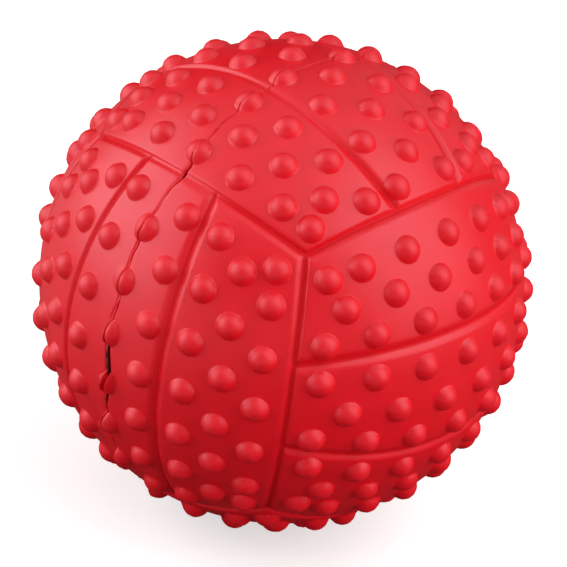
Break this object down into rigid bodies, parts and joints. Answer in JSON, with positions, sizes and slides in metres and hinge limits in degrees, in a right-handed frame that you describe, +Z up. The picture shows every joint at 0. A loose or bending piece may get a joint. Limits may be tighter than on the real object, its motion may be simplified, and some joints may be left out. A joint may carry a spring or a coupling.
{
  "type": "dog ball",
  "caption": "Hollow rubber fetch ball with domed nubs and volleyball-style panel grooves, moulded in halves that are bonded along a raised seam.",
  "frame": {"origin": "centre of the ball", "axes": "+X square to the joint plane, out through the middle of the right half; +Z up through the middle of the top face; the six faces of the panel layout look along the axes"},
  "size_m": [0.0696, 0.0702, 0.0698],
  "materials": {
    "shell_rubber": "satin",
    "bond_rubber": "satin"
  },
  "bodies": {
    "root": {"left_half_shell": "shell_rubber", "right_half_shell": "shell_rubber", "seam_bond": "bond_rubber"}
  },
  "joints": []
}
